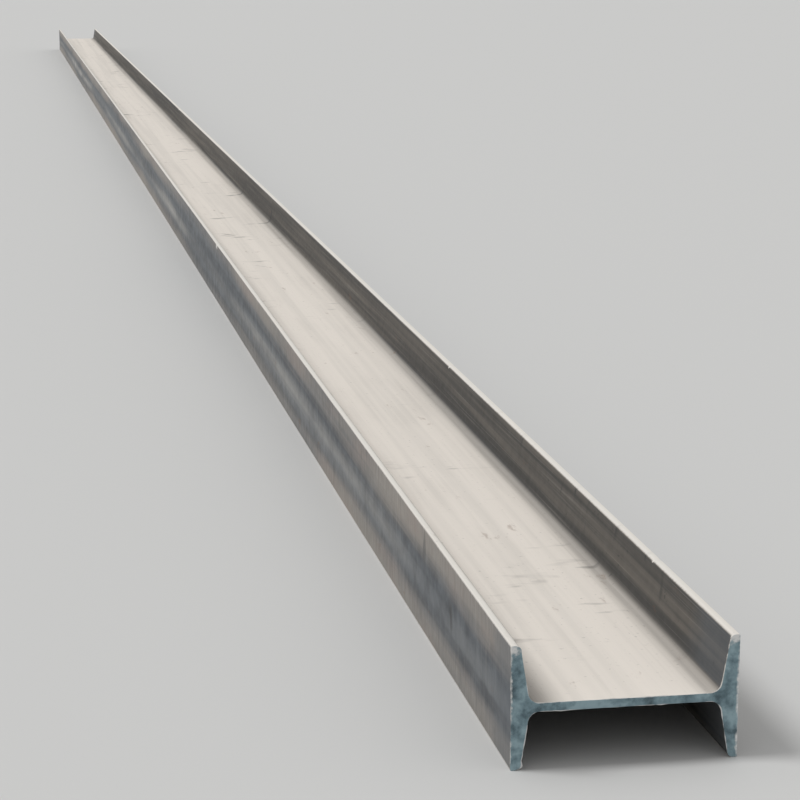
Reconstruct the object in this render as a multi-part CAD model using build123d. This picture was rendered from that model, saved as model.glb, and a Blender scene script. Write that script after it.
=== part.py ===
from build123d import *
import os
from math import atan, pi, tan

# A hot-rolled steel I-beam with tapered flanges, as plain stock with sawn ends.
# It lies on the edges of its two flanges, with the web level between them.
# X runs across the section's depth, Y along the beam and Z up.
# The origin is on the floor, under the middle of the beam. All sizes are in millimetres.

# Driving dimensions of the section: the rolled size 160 by 88
SECTION_DEPTH = 160.0
FLANGE_WIDTH = 88.0
WEB_THICKNESS = 6.0
FLANGE_THICKNESS = 9.9  # halfway between the flange's edge and the web
FLANGE_TAPER = 1 / 6
ROOT_RADIUS = 8.0
TOE_RADIUS = 4.0
OUTER_CORNER_RADIUS = 1.0

# Length of the stock
STOCK_LENGTH = 9000.0

# The share of a flange's edge that the toe's round may take, beside the outer corner
TOE_SHARE = 0.95


def flange_thickness_at(from_edge):
    """Thickness of a flange at a distance from its edge towards the web."""
    outstand = (FLANGE_WIDTH - WEB_THICKNESS) / 2
    return FLANGE_THICKNESS + (from_edge - outstand / 2) * FLANGE_TAPER


def limited_toe_radius(edge_thickness):
    """The toe's radius, kept within what the flange's edge has room for."""
    half_turn = (pi / 2 - atan(FLANGE_TAPER)) / 2
    room = (edge_thickness - OUTER_CORNER_RADIUS) * TOE_SHARE
    return min(TOE_RADIUS, room / tan(half_turn))


def quarter_outline():
    """Corners and radii of one quarter, from the flange's outer corner to the web."""
    edge_thickness = flange_thickness_at(0)
    root_thickness = flange_thickness_at((FLANGE_WIDTH - WEB_THICKNESS) / 2)
    half_depth = SECTION_DEPTH / 2
    half_width = FLANGE_WIDTH / 2
    return [
        ((half_depth, half_width), OUTER_CORNER_RADIUS),
        ((half_depth - edge_thickness, half_width), limited_toe_radius(edge_thickness)),
        ((half_depth - root_thickness, WEB_THICKNESS / 2), ROOT_RADIUS),
    ]


def section_outline():
    """Corners and radii all round the section, mirrored from one quarter."""
    quarter = quarter_outline()
    upper = quarter + [((-x, z), radius) for (x, z), radius in reversed(quarter)]
    lower = [((x, -z), radius) for (x, z), radius in reversed(upper)]
    return upper + lower


def make_i_beam():
    """The whole beam: its section, drawn standing on the floor and run along Y."""
    outline = section_outline()
    corners = [(x, z + FLANGE_WIDTH / 2) for (x, z), radius in outline]
    radii = [radius for corner, radius in outline]
    with BuildPart() as beam:
        with BuildSketch(Plane.XZ):
            with BuildLine():
                FilletPolyline(*corners, radius=radii, close=True)
            make_face()
        extrude(amount=STOCK_LENGTH / 2, both=True)
    return beam.part


os.makedirs("parts", exist_ok=True)
export_step(make_i_beam(), "parts/i_beam.step")
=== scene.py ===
"""Dresses one rolled steel I-beam that lies on the edges of its flanges, with its web level.

The beam runs along Y, its near end at the lowest Y. X goes across the section's depth and Z up.
Every length is in metres.
"""
import logging
import math
import random
from collections.abc import Callable, Iterable
from dataclasses import dataclass, field
from enum import Enum, IntEnum
from functools import partial, reduce
from typing import Union

import bmesh
import bpy
from bmesh.types import BMEdge, BMesh, BMFace, BMVert
from bpy.types import Material, Node, NodeTree, Object
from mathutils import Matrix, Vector, kdtree, noise


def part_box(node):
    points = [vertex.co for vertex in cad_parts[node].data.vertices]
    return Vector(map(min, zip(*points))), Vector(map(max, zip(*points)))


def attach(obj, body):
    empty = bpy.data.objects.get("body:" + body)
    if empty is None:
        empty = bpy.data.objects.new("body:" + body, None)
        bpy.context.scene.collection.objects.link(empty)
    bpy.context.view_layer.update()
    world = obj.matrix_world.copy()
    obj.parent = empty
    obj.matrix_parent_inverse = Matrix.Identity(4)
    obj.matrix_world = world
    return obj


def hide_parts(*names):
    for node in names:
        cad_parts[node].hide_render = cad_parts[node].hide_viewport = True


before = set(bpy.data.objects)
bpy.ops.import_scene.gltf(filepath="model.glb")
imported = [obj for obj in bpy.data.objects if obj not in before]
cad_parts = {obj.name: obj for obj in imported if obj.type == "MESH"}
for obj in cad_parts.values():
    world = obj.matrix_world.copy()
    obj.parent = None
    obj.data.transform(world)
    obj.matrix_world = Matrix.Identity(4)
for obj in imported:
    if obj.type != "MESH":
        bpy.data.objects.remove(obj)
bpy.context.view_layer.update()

# The beam's node and body in the imported model, and the piece that dresses it
NODE = "i_beam"
BODY = "root"
PIECE = "steel_i_beam"

# The attribute that says how bare of scale each point of the piece is
BARE = "bare"

MM = 0.001

# How near two places count as one, and how near a point a cut goes through it
SAME_PLACE = 0.01 * MM
CUT_TOLERANCE = 0.001 * MM

# The specular level of both finishes
SHEEN = 0.25

ACROSS, ALONG, UP = Vector((1, 0, 0)), Vector((0, 1, 0)), Vector((0, 0, 1))

Triple = tuple[float, float, float]
Colour = Triple
Socket = bpy.types.NodeSocket
Value = Union[Socket, float, Triple]

log = logging.getLogger("i_beam_scene")


def once(things: Iterable[object]) -> list:
    """Lists each thing once, in the order met, which a set wouldn't keep."""
    return list(dict.fromkeys(things))


class Round(Enum):
    """The kinds of rounded corner on the rolled section, with the facets each one gets."""

    OUTER = 3
    TOE = 6
    ROOT = 8


class End(Enum):
    """The two sawn ends, by the way that each one faces along Y."""

    NEAR = -1
    FAR = 1


class Finish(IntEnum):
    """The beam's finishes, by their places among its materials."""

    SKIN = 0
    SAWN = 1


@dataclass(frozen=True)
class RolledSection:
    """The section of the beam. The flanges stand upright and thin towards their edges."""

    depth: float
    width: float
    web: float = 6.0 * MM
    flange: float = 9.9 * MM
    taper: float = 1 / 6
    outer_radius: float = 1.0 * MM
    toe_radius: float = 4.0 * MM
    root_radius: float = 8.0 * MM

    @property
    def half_depth(self) -> float:
        """How far the section reaches to each side."""
        return self.depth / 2

    @property
    def half_width(self) -> float:
        """How far the flanges reach up and down from the middle of the web."""
        return self.width / 2

    @property
    def outstand(self) -> float:
        """How far a flange stands out from the face of the web."""
        return (self.width - self.web) / 2

    def flange_thickness(self, from_edge: float) -> float:
        """Gives a flange's thickness at a distance from its edge."""
        return self.flange + (from_edge - self.outstand / 2) * self.taper

    def corners(self) -> list[tuple[float, float, Round]]:
        """Gives the sharp corners all round the section, about its middle.

        Returns:
            Each corner's place across and up, and the kind of round it gets.
        """
        at_edge = self.flange_thickness(0.0)
        at_web = self.flange_thickness(self.outstand)
        quarter = [
            (self.half_depth, self.half_width, Round.OUTER),
            (self.half_depth - at_edge, self.half_width, Round.TOE),
            (self.half_depth - at_web, self.web / 2, Round.ROOT),
        ]
        upper = quarter + [(-x, z, kind) for x, z, kind in reversed(quarter)]
        return upper + [(x, -z, kind) for x, z, kind in reversed(upper)]

    def bevel_offset(self, kind: Round) -> float:
        """Gives how far a round starts from its sharp corner.

        Args:
            kind: which of the section's rounds.

        Returns:
            The tangent length of that round.
        """
        tapered = math.tan((math.pi / 2 - math.atan(self.taper)) / 2)
        return {
            Round.OUTER: self.outer_radius,
            Round.TOE: self.toe_radius * tapered,
            Round.ROOT: self.root_radius * tapered,
        }[kind]


@dataclass(frozen=True)
class Stock:
    """The length of beam that lies on the floor: its section, its ends and its web's level."""

    section: RolledSection
    near: float
    far: float
    web_level: float

    @property
    def length(self) -> float:
        """The distance from the near end to the far one."""
        return self.far - self.near

    @property
    def middle(self) -> float:
        """The place of the beam's middle along Y."""
        return (self.near + self.far) / 2

    def share(self, along: float) -> float:
        """Gives the share of the length that lies before a place along Y."""
        return (along - self.near) / self.length


@dataclass(frozen=True)
class Nick:
    """A small dent in a flange's edge, where a chain, fork or another beam struck it."""

    side: int
    edge: int
    along: float
    half_length: float
    depth: float

    def falloff(self, place: Vector) -> float:
        """Gives how much of the dent is felt at a point, from 0 to 1.

        Args:
            place: the point, with Z counted from the middle of the web.

        Returns:
            1 at the bottom of the dent, 0 outside it.
        """
        reach = abs(place.y - self.along) / self.half_length
        if reach >= 1 or place.x * self.side <= 0 or place.z * self.edge <= 0:
            return 0.0
        return (1 + math.cos(math.pi * reach)) / 2


@dataclass(frozen=True)
class Handling:
    """The knocks that the beam took: how many nicks, their sizes, and how deep they are felt."""

    nicks: int = 20
    shortest: float = 3.0 * MM
    longest: float = 20.0 * MM
    shallowest: float = 0.35 * MM
    deepest: float = 0.90 * MM
    felt_depth: float = 5.0 * MM
    seed: int = 16

    def scatter(self, stock: Stock) -> list[Nick]:
        """Scatters the nicks over all four flange edges, one to each stretch of the beam.

        Args:
            stock: the beam's sizes.

        Returns:
            The nicks, from the near end to the far one.
        """
        dice = random.Random(self.seed)
        stretch = stock.length / self.nicks
        nicks = []
        for index in range(self.nicks):
            size = dice.random() ** 2
            nick = Nick(
                side=dice.choice((-1, 1)),
                edge=dice.choice((-1, 1, 1)),
                along=stock.near + stretch * (index + dice.uniform(0.1, 0.9)),
                half_length=self.shortest + (self.longest - self.shortest) * size,
                depth=self.shallowest + (self.deepest - self.shallowest) * dice.random(),
            )
            nicks.append(nick)
        return nicks


@dataclass(frozen=True)
class SawCut:
    """What the saw leaves at an end: a broken rim with chips in it, and a burr inside it."""

    rim: float = 0.55 * MM
    bite: float = 0.35 * MM
    least_bite: float = 0.4
    step: float = 2.2 * MM
    fine_grain: float = 210.0
    coarse_grain: float = 45.0
    coarse_swing: float = 0.9
    coarse_shift: Triple = (3, 0, 5)
    bare_base: float = 0.25
    bare_gain: float = 1.3
    burr_reach: float = 1.6 * MM
    burr_height: float = 0.9 * MM
    tip_reach: float = 6.0 * MM
    tip_growth: float = 1.2

    def breaks(self, place: Vector) -> tuple[float, float]:
        """Gives how badly the rim broke at a point, in fine and in coarse.

        Args:
            place: the point.

        Returns:
            The fine break and the coarse one.
        """
        fine = 0.5 + noise.noise(place * self.fine_grain)
        broad = noise.noise(place * self.coarse_grain + Vector(self.coarse_shift))
        return fine, 0.5 + self.coarse_swing * broad

    def burr(self, away: Vector, to_edge: float, fine: float, coarse: float) -> Vector:
        """Gives how far the burr flares a point of the rim.

        Args:
            away: the way out of the skin there.
            to_edge: the point's distance from the flange's edge.
            fine: the fine break there.
            coarse: the coarse break there.

        Returns:
            The point's move, which is level at the flange's tip.
        """
        at_tip = max(0.0, 1 - to_edge / self.tip_reach)
        away.z *= 1 - at_tip
        height = self.burr_height * (1 + self.tip_growth * at_tip)
        return away * height * max(0.0, fine) * max(0.0, coarse) ** 2


@dataclass(frozen=True)
class BakeLayout:
    """How the beam's surface is laid out on its own map: rows of skin, and both sawn ends."""

    name: str = "OFBake"
    row_ends: tuple[float, ...] = (0.17, 0.5, 1.0)
    rows_height: float = 0.89
    margin: float = 0.006
    near_centre: float = 0.25
    far_centre: float = 0.75
    end_scale: float = 0.95

    def skin(self, along: float, around: float, row: int) -> tuple[float, float]:
        """Places a point of the skin.

        Args:
            along: the point's share of the beam's length, from the near end.
            around: its share of the way round the section.
            row: the row that its face lies in.

        Returns:
            The point's two map coordinates.
        """
        start = self.row_ends[row - 1] if row else 0.0
        width = 1 - 2 * self.margin
        height = self.rows_height / len(self.row_ends)
        across = (along - start) / (self.row_ends[row] - start)
        return (
            self.margin + across * width,
            row * height + self.margin + around * (height - 2 * self.margin),
        )

    def sawn(self, x: float, z: float, end: End) -> tuple[float, float]:
        """Places a point of a sawn end, the near one on the left and the far one beside it.

        Args:
            x: the point's place across the section, from its middle.
            z: its height over the middle of the web.
            end: which end it is on.

        Returns:
            The point's two map coordinates.
        """
        centre = self.near_centre if end is End.NEAR else self.far_centre
        middle = (1 + self.rows_height) / 2
        return centre + x * self.end_scale, middle + z * self.end_scale


@dataclass(frozen=True)
class Outline:
    """The way round the section, as points in even steps along its edge."""

    points: kdtree.KDTree
    count: int

    def share(self, place: Vector) -> float:
        """Gives how far round the section a point lies, from 0 to 1."""
        return self.points.find((place.x, 0, place.z))[1] / self.count


@dataclass
class IBeam:
    """The whole beam: one rolled piece with sawn ends, and the mesh that it is made in."""

    stock: Stock
    cut: SawCut = SawCut()
    handling: Handling = Handling()
    layout: BakeLayout = BakeLayout()
    stations: int = 150
    crowding: float = 0.82
    flat_step: float = 11.0 * MM
    hollow: float = 0.25 * MM
    wave: float = 0.18 * MM
    wave_length: float = 0.45
    waves_across: float = 9.0
    outline_step: float = 0.25 * MM
    sharp_angle: float = 32.0
    bm: BMesh = field(default_factory=bmesh.new)

    def build(self) -> Object:
        """Makes the beam's mesh, from the sharp section to the sawn and burred ends.

        Returns:
            The beam's object, at the origin.
        """
        self._run_section()
        self._round_corners()
        self._divide_flats()
        outline = self._outline()
        nicks = self.handling.scatter(self.stock)
        self._divide_length(nicks)
        self.bm.verts.layers.float.new(BARE)
        self._wave_skin()
        self._strike(nicks)
        for end in End:
            self._saw(end)
        self._lay_out(outline)
        bmesh.ops.translate(self.bm, vec=(0, 0, self.stock.web_level), verts=self.bm.verts)
        self._shade()
        mesh = bpy.data.meshes.new(PIECE)
        self.bm.to_mesh(mesh)
        self.bm.free()
        beam = bpy.data.objects.new(PIECE, mesh)
        bpy.context.scene.collection.objects.link(beam)
        weigh = beam.modifiers.new("even_normals", "WEIGHTED_NORMAL")
        weigh.keep_sharp = True
        return beam

    def dress(self, beam: Object) -> None:
        """Gives the beam its finishes, in the order of Finish.

        Args:
            beam: the object that build made.
        """
        skin, face = RolledSurface("mill_skin", self.stock), Surface("sawn_face", self.stock)
        for finish in (MillSkin(skin), SawnFace(face)):
            beam.data.materials.append(finish.material())

    def _run_section(self) -> None:
        """Draws the sharp section at the near end and runs it to the far end."""
        corners = self.stock.section.corners()
        verts = [self.bm.verts.new((x, self.stock.near, z)) for x, z, _ in corners]
        run = bmesh.ops.extrude_face_region(self.bm, geom=[self.bm.faces.new(verts)])
        moved = [part for part in run["geom"] if isinstance(part, BMVert)]
        bmesh.ops.translate(self.bm, vec=(0, self.stock.length, 0), verts=moved)
        bmesh.ops.recalc_face_normals(self.bm, faces=self.bm.faces)

    def _round_corners(self) -> None:
        """Rounds the long edges, each kind with its own radius."""
        for kind in Round:
            places = [(x, z) for x, z, found in self.stock.section.corners() if found is kind]
            bmesh.ops.bevel(
                self.bm,
                geom=[edge for edge in self._long_edges() if self._lies_at(edge, places)],
                offset=self.stock.section.bevel_offset(kind),
                offset_type="OFFSET",
                segments=kind.value,
                profile=0.5,
                affect="EDGES",
                material=-1,
                clamp_overlap=False,
            )

    def _long_edges(self) -> list[BMEdge]:
        """Lists the edges that run from end to end, while the beam isn't divided."""
        half = self.stock.length / 2
        return [edge for edge in self.bm.edges if abs(edge.verts[0].co.y - edge.verts[1].co.y) > half]

    def _lies_at(self, edge: BMEdge, places: list[tuple[float, float]]) -> bool:
        """Tells whether a long edge lies at one of some places across and up the section."""
        at = edge.verts[0].co
        return any(math.hypot(at.x - x, at.z - z) < SAME_PLACE for x, z in places)

    def _divide_flats(self) -> None:
        """Cuts the flats of the flanges and the web into strips, so that they can wave."""
        section = self.stock.section
        within_flanges = section.half_depth - 2 * section.flange
        for reach, axis in ((section.half_width, UP), (within_flanges, ACROSS)):
            strips = round(2 * reach / self.flat_step)
            for strip in range(1, strips):
                self._cut(self._skin(), 2 * reach * strip / strips - reach, axis)

    def _cut(self, faces: list[BMFace], level: float, axis: Vector) -> None:
        """Cuts those of some faces that a plane crosses.

        Args:
            faces: the faces that may be cut.
            level: the plane's place on its axis.
            axis: the plane's normal.
        """
        place = axis * level
        crossed = []
        for face in faces:
            heights = [(vert.co - place).dot(axis) for vert in face.verts]
            if min(heights) < 0 < max(heights):
                crossed.append(face)
        geom = crossed + once(edge for face in crossed for edge in face.edges)
        bmesh.ops.bisect_plane(self.bm, geom=geom, dist=CUT_TOLERANCE, plane_co=place, plane_no=axis)

    def _skin(self) -> list[BMFace]:
        """Lists the faces that run along the beam."""
        return [face for face in self.bm.faces if abs(face.normal.y) < 0.5]

    def _outline(self) -> Outline:
        """Walks round the near end from its lowest corner, while it is one face.

        Returns:
            The way round the section.
        """
        ring = [loop.vert.co.copy() for loop in self._cap(End.NEAR).loops]
        lowest = min(range(len(ring)), key=lambda i: (round(ring[i].z, 5), ring[i].x))
        ring = ring[lowest:] + ring[:lowest]
        places = []
        for place, following in zip(ring, ring[1:] + ring[:1]):
            steps = max(1, round((following - place).length / self.outline_step))
            places.extend(place.lerp(following, step / steps) for step in range(steps))
        points = kdtree.KDTree(len(places))
        for index, place in enumerate(places):
            points.insert((place.x, 0, place.z), index)
        points.balance()
        return Outline(points, len(places))

    def _divide_length(self, nicks: list[Nick]) -> None:
        """Divides the beam along its length, closest at the ends and at the nicks.

        Args:
            nicks: the dents that need divisions of their own.
        """
        stock, turn = self.stock, 2 * math.pi
        bmesh.ops.subdivide_edges(
            self.bm, edges=self._long_edges(), cuts=self.stations - 1, use_grid_fill=True
        )
        for vert in self.bm.verts:
            share = stock.share(vert.co.y)
            share -= self.crowding * math.sin(turn * share) / turn
            vert.co.y = stock.near + stock.length * share
        insets = (self.cut.burr_reach, 4 * self.cut.burr_reach)
        levels = [stock.near + inset for inset in insets] + [stock.far - inset for inset in insets]
        for nick in nicks:
            levels += [nick.along + share * nick.half_length for share in (-1, -0.5, 0, 0.5, 1)]
        for level in levels:
            self._cut(self._skin(), level, ALONG)

    def _wave_skin(self) -> None:
        """Hollows the flanges' outer faces slightly and waves the whole skin inwards."""
        self.bm.normal_update()
        section, across = self.stock.section, self.waves_across
        moves = {}
        for vert in self.bm.verts:
            sideways = Vector((vert.normal.x, 0, vert.normal.z))
            if sideways.length < 0.1:
                continue
            x, y, z = vert.co
            ripple = noise.noise(Vector((x * across, y / self.wave_length, z * across)))
            sink = self.wave * (0.5 + 0.5 * ripple)
            if abs(x) > section.half_depth - SAME_PLACE:
                sink += self.hollow * (1 - (z / section.half_width) ** 2)
            moves[vert] = sideways.normalized() * -sink
        self._move(moves)

    def _move(self, moves: dict[BMVert, Vector]) -> None:
        """Moves points, once all their moves are known."""
        for vert, move in moves.items():
            vert.co += move

    def _strike(self, nicks: list[Nick]) -> None:
        """Presses each nick into its flange's edge and bares the steel there.

        Args:
            nicks: the dents.
        """
        bare = self.bm.verts.layers.float[BARE]
        for vert in self.bm.verts:
            from_edge = self.stock.section.half_width - abs(vert.co.z)
            depth_share = max(0.0, 1 - from_edge / self.handling.felt_depth)
            if not depth_share:
                continue
            for nick in nicks:
                felt = nick.falloff(vert.co) * depth_share
                if felt:
                    vert.co.z -= nick.edge * nick.depth * felt
                    vert[bare] = max(vert[bare], felt)

    def _cap(self, end: End) -> BMFace:
        """Finds the one face that closes an end."""
        return max(self.bm.faces, key=lambda face: face.calc_center_median().y * end.value)

    def _saw(self, end: End) -> None:
        """Divides the rim of a sawn end, breaks it and marks what the saw cut.

        Args:
            end: which end.
        """
        by_cuts: dict[int, list[BMEdge]] = {}
        for edge in self._cap(end).edges:
            by_cuts.setdefault(int(edge.calc_length() / self.cut.step), []).append(edge)
        for cuts, edges in by_cuts.items():
            if cuts:
                bmesh.ops.subdivide_edges(self.bm, edges=edges, cuts=cuts)
        cap = self._cap(end)
        broken = bmesh.ops.inset_region(
            self.bm, faces=[cap], thickness=self.cut.rim, use_boundary=True, use_even_offset=True
        )["faces"]
        for face in (cap, *broken):
            face.material_index = Finish.SAWN
        self._divide_cap(cap)
        rim = once(vert for face in broken for vert in face.verts if self._skin_beside(vert))
        self._chip(rim, end)
        ragged = once(face for vert in rim for face in self._skin_beside(vert))
        bmesh.ops.triangulate(self.bm, faces=[face for face in ragged if len(face.verts) > 4])

    def _skin_beside(self, vert: BMVert) -> list[BMFace]:
        """Lists the faces of the skin that a point belongs to."""
        return [face for face in vert.link_faces if face.material_index == Finish.SKIN]

    def _divide_cap(self, cap: BMFace) -> None:
        """Cuts the sawn face into cells, so that no long thin triangles cross it.

        Args:
            cap: the sawn face inside its rim.
        """
        level = cap.calc_center_median().y
        section = self.stock.section
        for reach, axis in ((section.half_depth, ACROSS), (section.half_width, UP)):
            steps = round(reach / self.flat_step)
            for step in range(1 - steps, steps):
                cells = [
                    face
                    for face in self.bm.faces
                    if face.material_index == Finish.SAWN
                    and len(face.verts) > 4
                    and abs(face.calc_center_median().y - level) < MM
                ]
                self._cut(cells, reach * step / steps, axis)

    def _chip(self, rim: list[BMVert], end: End) -> None:
        """Sinks the rim unevenly, and flares it out where the saw left a burr.

        Args:
            rim: the points of the outline.
            end: which end they lie on.
        """
        bare = self.bm.verts.layers.float[BARE]
        section, cut = self.stock.section, self.cut
        moves = {}
        for vert in rim:
            fine, coarse = cut.breaks(vert.co)
            sunk = cut.bite * (cut.least_bite + max(0.0, fine * coarse))
            moves[vert] = Vector((0, -end.value * sunk, 0))
            vert[bare] = min(1.0, max(0.0, cut.bare_base + cut.bare_gain * coarse * fine))
            to_edge = section.half_width - abs(vert.co.z)
            if abs(vert.co.x) <= section.half_depth - MM and to_edge >= MM:
                away = sum((face.normal for face in self._skin_beside(vert)), Vector())
                moves[vert] += cut.burr(away.normalized(), to_edge, fine, coarse)
        self._move(moves)

    def _lay_out(self, outline: Outline) -> None:
        """Lays the skin out in rows and the sawn ends beside them, on the beam's own map.

        Args:
            outline: the way round the section.
        """
        stock, layout = self.stock, self.layout
        uv = self.bm.loops.layers.uv.new(layout.name)
        way = {vert: outline.share(vert.co) for vert in self.bm.verts}
        for face in self.bm.faces:
            middle = stock.share(face.calc_center_median().y)
            if face.material_index == Finish.SAWN:
                end = End.NEAR if middle < 0.5 else End.FAR
                for loop in face.loops:
                    loop[uv].uv = layout.sawn(loop.vert.co.x, loop.vert.co.z, end)
                continue
            row = sum(middle > row_end for row_end in layout.row_ends)
            ways = [way[loop.vert] for loop in face.loops]
            over_seam = max(ways) - min(ways) > 0.5
            for loop, around in zip(face.loops, ways):
                if over_seam and around < 0.5:
                    around += 1.0
                loop[uv].uv = layout.skin(stock.share(loop.vert.co.y), around, row)

    def _shade(self) -> None:
        """Shades the skin smooth, with sharp edges only at the sawn rims."""
        for face in self.bm.faces:
            face.smooth = True
        for edge in self.bm.edges:
            edge.smooth = edge.calc_face_angle(0.0) < math.radians(self.sharp_angle)


class Bench:
    """Lays nodes out in one tree and wires them up."""

    columns = 12
    spacing = (190, -230)

    def __init__(self, tree: NodeTree) -> None:
        """Starts on an empty tree."""
        self.tree = tree
        self.made = 0

    def node(self, kind: str, *values: Value, **settings: object) -> Node:
        """Adds a node.

        Args:
            kind: the node's type, without its ShaderNode prefix.
            *values: what its first inputs get, in order.
            **settings: properties to set on it.

        Returns:
            The new node.
        """
        added = self.tree.nodes.new("ShaderNode" + kind)
        for name, value in settings.items():
            setattr(added, name, value)
        for socket, value in zip(added.inputs, values):
            self.plug(socket, value)
        row, column = divmod(self.made, self.columns)
        added.location = (self.spacing[0] * column, self.spacing[1] * row)
        self.made += 1
        return added

    def plug(self, socket: Socket, value: Value) -> None:
        """Links an output to an input, or sets the input's own value.

        Args:
            socket: the input.
            value: an output socket, a number, a colour or three numbers.
        """
        if isinstance(value, Socket):
            self.tree.links.new(value, socket)
        elif isinstance(value, tuple) and socket.type == "RGBA":
            socket.default_value = (*value, 1.0)
        else:
            socket.default_value = value

    def feed(self, node: Node, values: dict[str, Value]) -> Socket:
        """Fills a node's inputs by name.

        Args:
            node: the node.
            values: what each input gets.

        Returns:
            The node's first output.
        """
        for name, value in values.items():
            self.plug(node.inputs[name], value)
        return node.outputs[0]

    def math(self, operation: str, *values: Value) -> Socket:
        """Works out one number by an operation of the Math node."""
        return self.node("Math", *values, operation=operation).outputs[0]

    def plus(self, *values: Value) -> Socket:
        """Adds numbers up."""
        return reduce(partial(self.math, "ADD"), values)

    def times(self, *values: Value) -> Socket:
        """Multiplies numbers together."""
        return reduce(partial(self.math, "MULTIPLY"), values)

    def highest(self, *values: Value) -> Socket:
        """Takes the highest of some numbers."""
        return reduce(partial(self.math, "MAXIMUM"), values)

    def minus(self, value: Value, taken: Value) -> Socket:
        """Takes one number from another."""
        return self.math("SUBTRACT", value, taken)

    def swing(self, cloud: Socket, amount: float = 1.0) -> Socket:
        """Turns a noise into a swing about zero, of a given size."""
        return self.times(self.minus(cloud, 0.5), amount)

    def mixed(self, factor: Value, first: Value, second: Value) -> Socket:
        """Mixes two numbers, or two colours where the second isn't a plain number.

        Args:
            factor: how much of the second.
            first: the first number or colour.
            second: the second number or colour.

        Returns:
            The mixed number or colour.
        """
        kind, place, output = ("FLOAT", 2, 0) if isinstance(second, float) else ("RGBA", 6, 2)
        mixer = self.node("Mix", factor, data_type=kind)
        self.plug(mixer.inputs[place], first)
        self.plug(mixer.inputs[place + 1], second)
        return mixer.outputs[output]

    def layered(self, base: Value, *layers: tuple[Value, Value]) -> Socket:
        """Lays colours, or plain numbers, over one another.

        Args:
            base: the colour or number underneath.
            *layers: each mask, and the colour or number that it lets through.

        Returns:
            What is on top at each point.
        """
        for mask, over in layers:
            base = self.mixed(mask, base, over)
        return base

    def ease(
        self, value: Value, start: float, stop: float, low: float = 0.0, high: float = 1.0
    ) -> Socket:
        """Steps smoothly from low to high as a value runs from start to stop."""
        sizes = (value, start, stop, low, high)
        return self.node("MapRange", *sizes, interpolation_type="SMOOTHSTEP").outputs[0]

    def cloud(
        self,
        place: Value,
        stretch: Triple = (1, 1, 1),
        shift: float = 0.0,
        detail: float = 3.0,
        roughness: float = 0.5,
        scale: float = 1.0,
    ) -> Socket:
        """Makes fractal noise about 0.5.

        Args:
            place: where to read it.
            stretch: its cells to the metre across, along and up.
            shift: how far the pattern is moved, so that two of them differ.
            detail: its number of octaves.
            roughness: how strong the fine octaves are.
            scale: how much finer all of it is.

        Returns:
            The noise.
        """
        moved = (shift, shift * 0.7, shift * 1.3)
        mapping = {"Vector": place, "Location": moved, "Scale": stretch}
        spread = self.feed(self.node("Mapping"), mapping)
        fractal = {"Vector": spread, "Scale": scale, "Detail": detail, "Roughness": roughness}
        return self.feed(self.node("TexNoise"), fractal)


@dataclass(frozen=True)
class Effect:
    """An effect that both finishes use, as a shader group that takes a place and a number."""

    name: str
    number: str
    outputs: tuple[str, ...]
    wire: Callable[[Bench, Socket, Socket], tuple[Socket, ...]]

    def tree(self) -> NodeTree:
        """Gives the group, and makes it the first time.

        Returns:
            The group's tree. All of its outputs are numbers.
        """
        tree = bpy.data.node_groups.get(self.name)
        if tree:
            return tree
        tree = bpy.data.node_groups.new(self.name, "ShaderNodeTree")
        tree.interface.new_socket("Place", in_out="INPUT", socket_type="NodeSocketVector")
        tree.interface.new_socket(self.number, in_out="INPUT", socket_type="NodeSocketFloat")
        for output in self.outputs:
            tree.interface.new_socket(output, in_out="OUTPUT", socket_type="NodeSocketFloat")
        entry, leave = tree.nodes.new("NodeGroupInput"), tree.nodes.new("NodeGroupOutput")
        bench = Bench(tree)
        wired = self.wire(bench, entry.outputs["Place"], entry.outputs[self.number])
        for output, value in zip(self.outputs, wired):
            bench.plug(leave.inputs[output], value)
        return tree


def wire_grain(bench: Bench, place: Socket, coarseness: Socket) -> tuple[Socket, ...]:
    """Wires the fine grain of the steel.

    Args:
        bench: the group's bench.
        place: the point's place.
        coarseness: how coarse the grain is.

    Returns:
        The grain's height, its pits and its broad mottle.
    """
    spread = bench.node("VectorMath", place, operation="SCALE")
    place = bench.feed(spread, {"Scale": bench.math("DIVIDE", 1.0, coarseness)})
    fine = bench.cloud(place, detail=4.0, roughness=0.6, scale=520.0)
    broad = bench.cloud(place, detail=4.0, roughness=0.55, scale=90.0)
    pits = bench.ease(bench.cloud(place, shift=3.7, detail=2.0, scale=260.0), 0.66, 0.78)
    height = bench.plus(bench.times(fine, 0.5), bench.times(broad, 0.5))
    return bench.minus(height, bench.times(pits, 0.6)), pits, broad


def wire_bared(bench: Bench, place: Socket, wear: Socket) -> tuple[Socket, ...]:
    """Wires the broken-up patches where steel is rubbed or cut bare.

    Args:
        bench: the group's bench.
        place: the point's place.
        wear: how worn the point is.

    Returns:
        The bare steel's mask.
    """
    breaks = bench.cloud(place, detail=4.0, roughness=0.6, scale=240.0)
    stretches = bench.cloud(place, (30, 12, 30), 7.7, 2.0)
    held = bench.plus(wear, bench.swing(breaks), bench.swing(stretches, 1.3))
    return (bench.times(bench.ease(wear, 0.02, 0.20), bench.ease(held, 0.32, 0.66)),)


def wire_scuffs(bench: Bench, place: Socket, amount: Socket) -> tuple[Socket, ...]:
    """Wires the short dark scuffs that chains, straps and other stock leave across the beam.

    Args:
        bench: the group's bench.
        place: the point's place.
        amount: how strong they are.

    Returns:
        The scuffs' mask and the specks' mask.
    """
    crowd = bench.ease(bench.cloud(place, (6, 2.6, 6), 8.2, 2.0), 0.48, 0.62)
    wide = bench.ease(bench.cloud(place, (22, 44, 22), 6.4, 2.5, 0.55), 0.60, 0.76)
    small = bench.ease(bench.cloud(place, (1, 0.7, 1), 2.6, scale=150.0), 0.66, 0.76)
    return bench.times(wide, crowd, amount), bench.times(small, crowd, amount)


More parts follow.
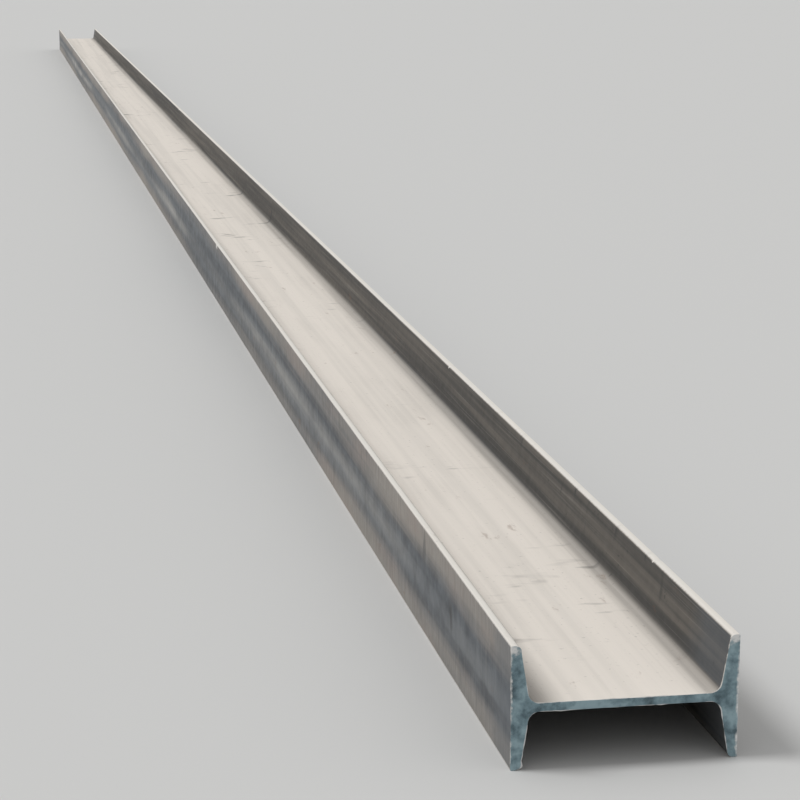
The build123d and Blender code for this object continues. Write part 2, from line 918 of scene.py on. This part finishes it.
STEEL_GRAIN = Effect("steel_grain", "Coarseness", ("Height", "Pits", "Mottle"), wire_grain)
BARED_STEEL = Effect("bared_steel", "Wear", ("Bare",), wire_bared)
SCUFFS = Effect("scuffs", "Amount", ("Scuff", "Speck"), wire_scuffs)


class Surface(Bench):
    """The bench of a finish, with what the finish reads from the beam at each point."""

    def __init__(self, name: str, stock: Stock) -> None:
        """Starts an empty material and reads the point's place, facing and wear.

        Args:
            name: the material's name.
            stock: the beam's sizes.
        """
        self.material = bpy.data.materials.new(name)
        self.material.use_nodes = True
        self.material.node_tree.nodes.clear()
        super().__init__(self.material.node_tree)
        where = self.node("TexCoord")
        self.place = where.outputs["Object"]
        self.x, along, self.z = self.node("SeparateXYZ", self.place).outputs
        self.upward = self.node("SeparateXYZ", where.outputs["Normal"]).outputs[2]
        self.across = self.math("ABSOLUTE", self.x)
        self.height = self.minus(self.z, stock.web_level)
        self.off_middle = self.math("ABSOLUTE", self.height)
        off_centre = self.math("ABSOLUTE", self.minus(along, stock.middle))
        self.from_end = self.minus(stock.length / 2, off_centre)
        self.from_outside = self.minus(stock.section.half_depth, self.across)
        self.from_edge = self.minus(stock.section.half_width, self.off_middle)
        self.wear = self.node("Attribute", attribute_name=BARE).outputs["Fac"]

    def effect(self, shared: Effect, number: Value) -> dict[str, Socket]:
        """Places a shared effect, and gives its outputs by name."""
        placed = self.node("Group", self.place, number, node_tree=shared.tree())
        return {output.name: output for output in placed.outputs}

    def close(
        self, colour: Value, roughness: Value, metallic: Value, relief: Value, depth: float
    ) -> Material:
        """Feeds the finish's colours and masks into its shader.

        Args:
            colour: the base colour.
            roughness: the roughness.
            metallic: how much of the surface is bare metal.
            relief: the height of the fine relief.
            depth: the depth that a height of 1 stands for.

        Returns:
            The finished material.
        """
        bump = {"Strength": 1.0, "Distance": depth, "Height": relief}
        steel = {
            "Base Color": colour,
            "Roughness": roughness,
            "Metallic": metallic,
            "Specular IOR Level": SHEEN,
            "Normal": self.feed(self.node("Bump"), bump),
        }
        self.node("OutputMaterial", self.feed(self.node("BsdfPrincipled"), steel))
        return self.material


class RolledSurface(Surface):
    """The bench of a rolled finish, with the noises that rolling leaves along the beam."""

    def __init__(self, name: str, stock: Stock) -> None:
        """Adds the noises.

        Args:
            name: the material's name.
            stock: the beam's sizes.
        """
        super().__init__(name, stock)
        self.drift = self.cloud(self.place, (7, 0.9, 7), roughness=0.55)
        self.bands = self.cloud(self.place, (58, 0.7, 58), 4.1, 2.0)
        self.streaks = self.cloud(self.place, (170, 1.6, 170), 1.9, 3.0, 0.6)
        self.lines = self.cloud(self.place, (900, 5.0, 900), 5.1, 2.0)
        self.ticks = self.cloud(self.place, (30, 640, 30), 2.3, 2.5, 0.65)
        self.patches = self.cloud(self.place, (16, 4.5, 16), 8.2, 4.0, 0.6)
        self.stretches = self.cloud(self.place, (2, 0.62, 2), 3.1, 2.0)
        self.blots = self.cloud(self.place, (46, 34, 46), 6.6, 3.0, 0.55)


@dataclass(frozen=True)
class MillSkin:
    """The rolled skin: blue-grey mill scale in long bands with a painted sheen, edges rubbed bare and
    brightened as a painted highlight, dust on top made paler as a painted reflection, and painted
    shade by the root fillets.
    """

    skin: RolledSurface
    slate: Colour = (0.042, 0.052, 0.065)
    steel: Colour = (0.108, 0.123, 0.140)
    tan: Colour = (0.315, 0.282, 0.248)
    mauve: Colour = (0.300, 0.225, 0.198)
    polish: Colour = (0.42, 0.40, 0.37)
    # Painted sheen: the pale colour of a reflection along the outer flanges
    satin: Colour = (0.500, 0.475, 0.435)
    shade: Colour = (0.044, 0.046, 0.048)
    brown: Colour = (0.140, 0.129, 0.115)
    # Dust on faces that look up, in two tones, made paler as a painted reflection
    dust_and_sheen: Colour = (0.78, 0.725, 0.66)
    trodden_dust_and_sheen: Colour = (0.72, 0.672, 0.613)
    # Bare steel, made paler so that the rubbed edges also carry a painted highlight
    bare: Colour = (0.78, 0.75, 0.70)
    spot: Colour = (0.030, 0.032, 0.036)
    rust: Colour = (0.19, 0.105, 0.060)
    inner_roughness: float = 0.56
    outer_roughness: float = 0.47
    satin_roughness: float = 0.30
    dust_roughness: float = 0.80
    bare_roughness: float = 0.44
    scale_metal: float = 0.38
    dust_metal: float = 0.03
    bare_metal: float = 0.25
    relief: float = 0.10 * MM

    def material(self) -> Material:
        """Builds the finish.

        Returns:
            The material for the beam's first slot.
        """
        skin = self.skin
        grain = skin.effect(STEEL_GRAIN, 1.0)
        outer = skin.ease(skin.from_outside, 3 * MM, 1 * MM)
        satin_and_painted_sheen, dust_sheen_and_shade, worn_and_glinting = self._satin_and_painted_sheen(), self._dust_sheen_and_shade(), self._worn_and_glinting()
        colour = skin.layered(
            self._inner_faces(),
            (outer, self._outer_face(satin_and_painted_sheen)),
            (dust_sheen_and_shade, self._dust_and_sheen()),
        )
        colour = skin.mixed(worn_and_glinting, self._marked(grain["Pits"], colour), self.bare)
        rough = skin.layered(
            self.inner_roughness,
            (outer, self.outer_roughness),
            (skin.times(satin_and_painted_sheen, outer), self.satin_roughness),
            (dust_sheen_and_shade, self.dust_roughness),
            (worn_and_glinting, self.bare_roughness),
        )
        rough = skin.plus(rough, skin.swing(grain["Mottle"], 0.20))
        metal = skin.layered(self.scale_metal, (dust_sheen_and_shade, self.dust_metal), (worn_and_glinting, self.bare_metal))
        height = skin.times(grain["Height"], 0.6)
        relief = skin.plus(height, skin.streaks, skin.times(skin.ticks, 0.35))
        return skin.close(colour, rough, metal, relief, self.relief)

    def _satin_and_painted_sheen(self) -> Socket:
        """Finds the smoother band near the middle of the flanges' outer faces, whose pale colour is a
        painted sheen standing in for a reflection.

        Returns:
            Its mask, which comes and goes along the beam.
        """
        skin = self.skin
        level = skin.plus(skin.swing(skin.drift, 22 * MM), -5 * MM)
        off_sheen_band = skin.math("ABSOLUTE", skin.minus(skin.height, level))
        off_sheen_band = skin.plus(skin.swing(skin.streaks, 10 * MM), off_sheen_band)
        return skin.times(
            skin.ease(off_sheen_band, 18.5 * MM, -2 * MM),
            skin.ease(skin.patches, 0.34, 0.62, 0.35, 0.78),
            skin.ease(skin.stretches, 0.38, 0.62, 0.12, 1.0),
            skin.ease(skin.ticks, 0.34, 0.58, 0.72, 1.0),
        )

    def _outer_face(self, satin_and_painted_sheen: Socket) -> Socket:
        """Colours the flanges' outer faces: a slate band between warm margins with fine ticks, and a
        pale painted sheen.

        Args:
            satin_and_painted_sheen: the mask of the smoother band, which also places the painted
                sheen.

        Returns:
            The colour.
        """
        skin = self.skin
        wander = skin.plus(skin.swing(skin.drift, 44 * MM), skin.swing(skin.streaks, 20 * MM))
        margin = skin.ease(skin.plus(skin.off_middle, wander), 12 * MM, 34 * MM)
        warm = skin.times(margin, skin.ease(skin.drift, 0.32, 0.60, 0.30, 0.95))
        blush = skin.times(
            warm,
            skin.ease(skin.patches, 0.46, 0.64),
            skin.ease(skin.ticks, 0.40, 0.60, 0.15, 0.75),
        )
        bright_ticks = skin.times(
            skin.ease(skin.ticks, 0.50, 0.72),
            skin.ease(skin.off_middle, 8 * MM, 36 * MM, 0.14, 0.50),
        )
        dark_ticks = skin.times(skin.ease(skin.ticks, 0.48, 0.30), skin.times(margin, 0.46))
        cloudy = skin.plus(skin.times(skin.bands, 0.55), skin.times(skin.blots, 0.45))
        return skin.layered(
            self.slate,
            (skin.ease(cloudy, 0.40, 0.60), self.steel),
            (warm, self.tan),
            (blush, self.mauve),
            # Painted sheen: a pale stripe in place of a reflection
            (satin_and_painted_sheen, self.satin),
            (bright_ticks, self.polish),
            (dark_ticks, self.slate),
        )

    def _inner_faces(self) -> Socket:
        """Colours the flanges' inner faces and both sides of the web, under any dust.

        Returns:
            The colour.
        """
        skin = self.skin
        bands = skin.plus(skin.times(skin.bands, 0.55), skin.times(skin.streaks, 0.45))
        return skin.layered(
            self.shade,
            (skin.ease(bands, 0.40, 0.60, 0.22, 1.0), self.brown),
            (skin.ease(skin.lines, 0.55, 0.75, 0.0, 0.22), self.polish),
        )

    def _dust_sheen_and_shade(self) -> Socket:
        """Finds where dust lies on faces that look up, thinned by the root fillets as painted shade.

        Returns:
            The dust's mask.
        """
        skin = self.skin
        thick = skin.ease(skin.plus(skin.patches, skin.streaks), 0.70, 1.02, 0.93, 0.99)
        # Painted shade: the dust thins towards the root fillets, so the web darkens beside the
        # flanges
        to_root = skin.plus(skin.across, skin.swing(skin.streaks, 12 * MM))
        clear_of_root_shade = skin.highest(
            skin.ease(to_root, 50 * MM, 67 * MM, 1.0, 0.40),
            skin.ease(skin.off_middle, 30 * MM, 40 * MM),
        )
        return skin.times(skin.ease(skin.upward, 0.50, 0.95), thick, clear_of_root_shade)

    def _dust_and_sheen(self) -> Socket:
        """Colours the dust itself, with long faint lines in it; its pale colour is partly a painted
        reflection.

        Returns:
            The colour.
        """
        skin = self.skin
        return skin.layered(
            self.trodden_dust_and_sheen,
            (skin.ease(skin.bands, 0.36, 0.58), self.dust_and_sheen),
            (skin.ease(skin.lines, 0.50, 0.30, 0.0, 0.30), self.trodden_dust_and_sheen),
        )

    def _marked(self, pits: Socket, colour: Socket) -> Socket:
        """Adds the stain by the sawn ends, scuffs, specks and faint rust.

        Args:
            pits: the grain's pits.
            colour: the colour so far.

        Returns:
            The marked colour.
        """
        skin = self.skin
        ragged = skin.plus(skin.from_end, skin.swing(skin.patches, 160 * MM))
        stain = skin.ease(ragged, 85 * MM, 20 * MM, 0.0, 0.55)
        on_side = skin.ease(skin.upward, 0.75, 0.35)
        marks = skin.effect(SCUFFS, skin.ease(skin.upward, 0.20, 0.60, 1.05, 0.62))
        specks = skin.times(skin.highest(marks["Speck"], skin.times(pits, 0.45)), 0.55)
        flecks = skin.cloud(skin.place, (60, 22, 60), 9.9, 4.0, 0.65)
        return skin.layered(
            colour,
            (skin.times(stain, on_side), self.steel),
            (marks["Scuff"], self.shade),
            (specks, self.spot),
            (skin.ease(flecks, 0.64, 0.76, 0.0, 0.42), self.rust),
        )

    def _worn_and_glinting(self) -> Socket:
        """Finds where the flanges' edges and nicks are rubbed bare; along the edges the bright colour
        is also a painted highlight.

        Returns:
            The bare steel's mask.
        """
        skin = self.skin
        from_edge = skin.minus(skin.from_edge, skin.swing(skin.ticks, 1.8 * MM))
        # Edges rubbed bare all along both flanges, brightened as a painted highlight
        rubbed = skin.ease(from_edge, 1.8 * MM, 0.6 * MM)
        rubbed = skin.times(rubbed, skin.ease(skin.patches, 0.34, 0.60, 0.50, 0.90))
        knocked = skin.highest(skin.wear, skin.ease(skin.from_end, 4.0 * MM, 0.4 * MM, 0.0, 0.52))
        return skin.highest(rubbed, skin.effect(BARED_STEEL, knocked)["Bare"])


@dataclass(frozen=True)
class SawnFace:
    """A sawn end: blue-grey steel with the arcs of the blade, dark blotches, a bright rim that is
    partly a painted glint, and painted highlights at the upper tips.
    """

    face: Surface
    steel: Colour = (0.150, 0.222, 0.254)
    pale: Colour = (0.300, 0.410, 0.450)
    blotch: Colour = (0.040, 0.060, 0.072)
    # Bare steel, also the colour of the painted glint on the rim and the painted highlights at the
    # upper tips
    bare: Colour = (0.72, 0.72, 0.71)
    dull_roughness: float = 0.56
    clean_roughness: float = 0.40
    bare_roughness: float = 0.30
    cut_metal: float = 0.45
    bare_metal: float = 0.85
    relief: float = 0.08 * MM
    blade_across: float = -0.42
    blade_height: float = 0.55
    teeth: float = 1100.0

    def material(self) -> Material:
        """Builds the finish.

        Returns:
            The material for the beam's second slot.
        """
        face = self.face
        arcs, bared_and_glinting = self._blade_arcs(), self._bared_and_glinting()
        blots = face.cloud(face.place, shift=4.4, detail=4.0, roughness=0.6, scale=75.0)
        colour = face.layered(
            self.steel,
            (face.ease(blots, 0.40, 0.64), self.pale),
            (face.ease(blots, 0.46, 0.30, 0.0, 0.66), self.blotch),
            (face.ease(arcs, 0.48, 0.72, 0.0, 0.30), self.pale),
            (face.effect(SCUFFS, 0.8)["Speck"], self.blotch),
            (bared_and_glinting, self.bare),
        )
        rough = face.layered(
            self.dull_roughness,
            (face.ease(blots, 0.35, 0.70), self.clean_roughness),
            (bared_and_glinting, self.bare_roughness),
        )
        metal = face.mixed(bared_and_glinting, self.cut_metal, self.bare_metal)
        relief = face.plus(face.times(arcs, 0.7), face.effect(STEEL_GRAIN, 0.8)["Height"])
        return face.close(colour, rough, metal, relief, self.relief)

    def _bared_and_glinting(self) -> Socket:
        """Finds the bright steel: bare along the rim and in the chips, a painted glint on the outer
        rim and a painted highlight at the upper tips.

        Returns:
            The bright steel's mask.
        """
        face = self.face
        wear = face.highest(
            face.wear,
            # Outer rim: bare burr, widened as a painted glint
            face.ease(face.from_outside, 3.6 * MM, 0.6 * MM, 0.0, 0.50),
            face.ease(face.from_edge, 2.8 * MM, 0.3 * MM, 0.0, 0.42),
            # Painted highlight: the upper tips lit brighter than the rest of the face
            face.ease(face.height, 28 * MM, 42 * MM, 0.0, 0.60),
        )
        return face.effect(BARED_STEEL, wear)["Bare"]

    def _blade_arcs(self) -> Socket:
        """Draws the arcs that a round blade leaves, about a centre up to one side.

        Returns:
            A noise that changes only with the distance from the blade's centre.
        """
        face = self.face
        run = face.minus(face.x, self.blade_across)
        rise = face.minus(face.z, self.blade_height)
        reach = face.math("SQRT", face.plus(face.times(rise, rise), face.times(run, run)))
        arcs = {"W": face.times(reach, self.teeth), "Detail": 3.0}
        return face.feed(face.node("TexNoise", noise_dimensions="1D"), arcs)


@dataclass(frozen=True)
class Studio:
    """A plain pale floor under soft light, and the camera at the photograph's angle."""

    floor_size: float = 400.0
    floor_colour: Colour = (0.58, 0.58, 0.572)
    floor_roughness: float = 0.85
    backdrop: Colour = (0.595, 0.595, 0.588)
    sky: Colour = (1.0, 1.0, 1.0)
    sky_strength: float = 0.60
    sun_strength: float = 1.50
    sun_from: Triple = (-0.75, 0.15, 1.15)
    sun_softness: float = 20.0
    eye: Triple = (-0.415, -5.975, 0.566)
    aim: Triple = (0.0093, -3.563, 0.064)
    lens: float = 106.0
    nearest: float = 0.05

    def build(self) -> None:
        """Makes the floor, the world, the lamp and the camera."""
        self._floor()
        self._world()
        self._sun()
        self._camera()

    def _floor(self) -> None:
        """Lays the floor at the level that the beam rests on."""
        bm = bmesh.new()
        bmesh.ops.create_grid(bm, x_segments=2, y_segments=2, size=self.floor_size / 2)
        mesh = bpy.data.meshes.new("floor")
        bm.to_mesh(mesh)
        bm.free()
        floor = bpy.data.objects.new("floor", mesh)
        bpy.context.scene.collection.objects.link(floor)
        paint = bpy.data.materials.new("floor_paint")
        paint.use_nodes = True
        shader = paint.node_tree.nodes["Principled BSDF"]
        shader.inputs["Base Color"].default_value = (*self.floor_colour, 1.0)
        shader.inputs["Roughness"].default_value = self.floor_roughness
        mesh.materials.append(paint)

    def _world(self) -> None:
        """Lights everything evenly from all round, behind a plain backdrop."""
        world = bpy.data.worlds.new("soft_sky")
        bpy.context.scene.world = world
        world.use_nodes = True
        world.node_tree.nodes.clear()
        bench = Bench(world.node_tree)
        ray = bench.node("LightPath").outputs
        seen = bench.highest(ray["Is Camera Ray"], ray["Is Transmission Ray"], ray["Is Glossy Ray"])
        light = bench.node("Background", self.sky, self.sky_strength)
        shown = bench.node("Background", self.backdrop, 1.0)
        mixer = bench.node("MixShader", seen, light.outputs[0], shown.outputs[0])
        bench.node("OutputWorld", mixer.outputs[0])

    def _sun(self) -> None:
        """Hangs one broad lamp up to the left."""
        lamp = bpy.data.lights.new("key", "SUN")
        lamp.energy = self.sun_strength
        lamp.angle = math.radians(self.sun_softness)
        key = bpy.data.objects.new("key", lamp)
        key.rotation_euler = Vector(self.sun_from).to_track_quat("Z", "Y").to_euler()
        bpy.context.scene.collection.objects.link(key)

    def _camera(self) -> None:
        """Stands the camera where the photograph's stood beside such a beam."""
        lens = bpy.data.cameras.new("camera")
        lens.lens = self.lens
        lens.clip_start, lens.clip_end = self.nearest, 2 * self.floor_size
        camera = bpy.data.objects.new("camera", lens)
        camera.location = self.eye
        look = Vector(self.aim) - Vector(self.eye)
        camera.rotation_euler = look.to_track_quat("-Z", "Y").to_euler()
        bpy.context.scene.collection.objects.link(camera)
        bpy.context.scene.camera = camera


def main() -> None:
    """Builds the studio and the beam, in that order."""
    logging.basicConfig(level=logging.INFO, format="%(name)s: %(message)s")
    bpy.context.scene.view_settings.view_transform = "Standard"
    Studio().build()
    low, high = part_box(NODE)
    section = RolledSection(depth=high[0] - low[0], width=high[2] - low[2])
    beam_maker = IBeam(Stock(section, low[1], high[1], (low[2] + high[2]) / 2))
    beam = beam_maker.build()
    beam_maker.dress(beam)
    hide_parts(NODE)
    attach(beam, BODY)
    log.info("%s: %d faces", beam.name, len(beam.data.polygons))


if __name__ == "__main__":
    main()
